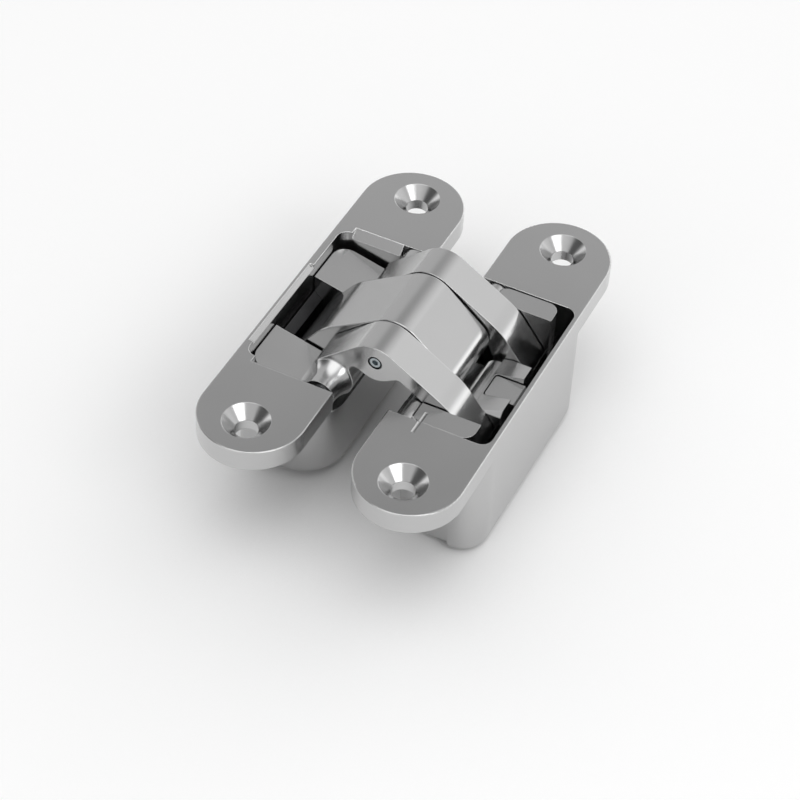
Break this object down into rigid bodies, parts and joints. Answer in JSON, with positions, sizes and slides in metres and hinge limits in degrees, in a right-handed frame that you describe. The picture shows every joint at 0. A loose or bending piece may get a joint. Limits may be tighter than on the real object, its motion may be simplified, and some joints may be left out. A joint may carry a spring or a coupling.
{
  "type": "concealed door hinge",
  "caption": "Concealed door hinge: two leaves with deep housings, joined by crossing arms that slide inside them and fold away when the door closes.",
  "frame": {"origin": "midway between the two leaves and their ends, at the level of the door housing's back", "axes": "+X from the frame leaf to the door leaf, +Y along the leaves, +Z out of the leaves' faces"},
  "size_m": [0.0706, 0.115, 0.048],
  "materials": {
    "housing_zinc": "satin chrome plating on cast zinc",
    "arm_zinc": "satin chrome plating on cast zinc",
    "guide_zinc": "satin chrome plating on cast zinc",
    "pin_steel": "ground steel",
    "centre_pin_steel": "ground steel",
    "screw_steel": "zinc-plated steel",
    "bearing_polymer": "low-friction polymer"
  },
  "bodies": {
    "frame": {"frame_housing": "housing_zinc", "frame_guide_near": "guide_zinc", "frame_guide_far": "guide_zinc", "channel_plate": "guide_zinc", "frame_pivot_pin": "pin_steel", "frame_guide_screws": "screw_steel"},
    "outer_arms": {"outer_arm_near": "arm_zinc", "outer_arm_far": "arm_zinc", "centre_pin": "centre_pin_steel", "arm_washer_near": "bearing_polymer", "arm_washer_far": "bearing_polymer", "outer_arm_sleeve_near": "bearing_polymer", "outer_arm_sleeve_far": "bearing_polymer", "outer_slide_pin_near": "pin_steel", "outer_slide_pin_far": "pin_steel", "inner_slide_bush_near": "bearing_polymer", "inner_slide_bush_far": "bearing_polymer", "outer_slide_bush_near": "bearing_polymer", "outer_slide_bush_far": "bearing_polymer"},
    "wide_arm": {"wide_arm": "arm_zinc", "centre_sleeve": "bearing_polymer", "wide_arm_sleeve": "bearing_polymer", "wide_slide_pin": "pin_steel", "wide_slide_bush_near": "bearing_polymer", "wide_slide_bush_far": "bearing_polymer"},
    "door": {"door_housing": "housing_zinc", "door_guide_near": "guide_zinc", "door_guide_far": "guide_zinc", "centre_block": "guide_zinc", "stop_block": "guide_zinc", "door_pivot_pin": "pin_steel", "door_spacer_near": "pin_steel", "door_spacer_far": "pin_steel", "door_guide_screws": "screw_steel"}
  },
  "joints": [
    {"name": "frame_pivot", "type": "hinge", "parent": "frame", "child": "outer_arms", "pos_m": [-0.0116, 0, 0.03305], "axis": [0, -1, 0], "range_deg": [0, 117.29]},
    {"name": "arm_crossing", "type": "hinge", "parent": "outer_arms", "child": "wide_arm", "pos_m": [0, 0, 0.0431], "axis": [0, -1, 0], "range_deg": [-54.59, 0]},
    {"name": "door_pivot", "type": "hinge", "parent": "wide_arm", "child": "door", "pos_m": [0.0116, 0, 0.03305], "axis": [0, -1, 0], "range_deg": [0, 117.3]}
  ],
  "couplings": [
    {"joint": "arm_crossing", "follows": "frame_pivot", "ratio": -0.4654},
    {"joint": "door_pivot", "follows": "frame_pivot", "ratio": 1}
  ]
}
